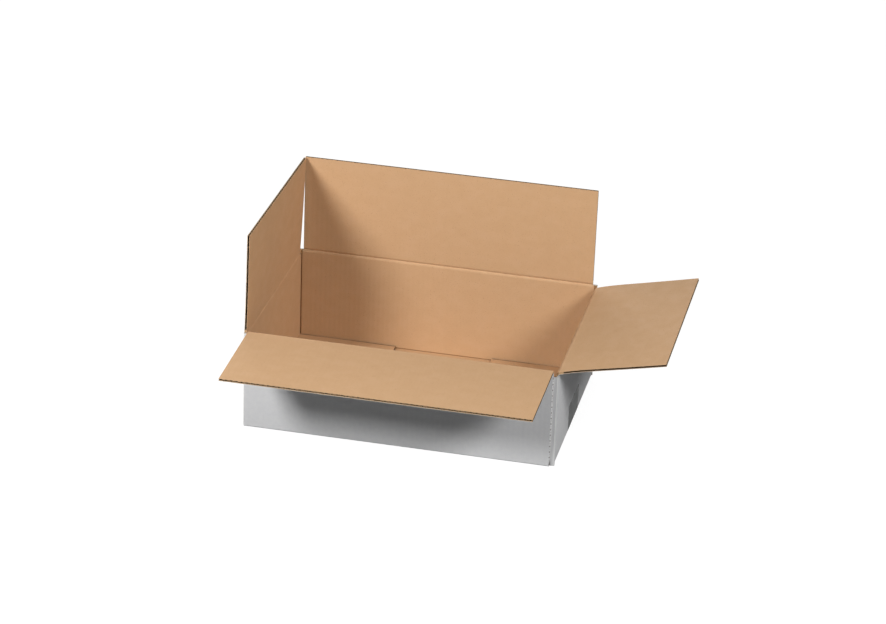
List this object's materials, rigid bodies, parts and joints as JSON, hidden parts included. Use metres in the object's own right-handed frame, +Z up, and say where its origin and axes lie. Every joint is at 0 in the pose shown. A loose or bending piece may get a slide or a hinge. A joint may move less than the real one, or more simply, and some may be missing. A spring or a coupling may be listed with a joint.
{
  "type": "regular slotted carton",
  "caption": "Low rectangular carton of corrugated board, white outside and kraft brown inside, taped shut below, its top flaps folding over the opening.",
  "frame": {"origin": "middle of the carton's underside, on the plane it stands on", "axes": "+X along the long side to the right, +Y from the front wall to the back wall, +Z up"},
  "size_m": [0.513, 0.3898, 0.2522],
  "materials": {
    "white_board": "matte white outer liner of the board, kraft brown inside",
    "kraft_board": "matte kraft brown inner liner of the board, white outside",
    "grey_tape": "dark grey packing tape with a soft sheen"
  },
  "bodies": {
    "carton": {"carton_body": "white_board", "bottom_tape": "grey_tape"},
    "back_flap": {"flap_back": "kraft_board"},
    "front_flap": {"flap_front": "kraft_board"},
    "left_flap": {"flap_left": "kraft_board"},
    "right_flap": {"flap_right": "kraft_board"}
  },
  "joints": [
    {"name": "back_crease", "type": "hinge", "parent": "carton", "child": "back_flap", "pos_m": [0, 0.131, 0.1255], "axis": [1, 0, 0], "range_deg": [-164.5, 90.5]},
    {"name": "front_crease", "type": "hinge", "parent": "carton", "child": "front_flap", "pos_m": [0, -0.131, 0.1255], "axis": [-1, 0, 0], "range_deg": [-73.6, 181.4]},
    {"name": "left_crease", "type": "hinge", "parent": "carton", "child": "left_flap", "pos_m": [-0.193, 0, 0.1222], "axis": [0, 1, 0], "range_deg": [-159, 89]},
    {"name": "right_crease", "type": "hinge", "parent": "carton", "child": "right_flap", "pos_m": [0.193, 0, 0.1222], "axis": [0, -1, 0], "range_deg": [-80.5, 167.5]}
  ]
}
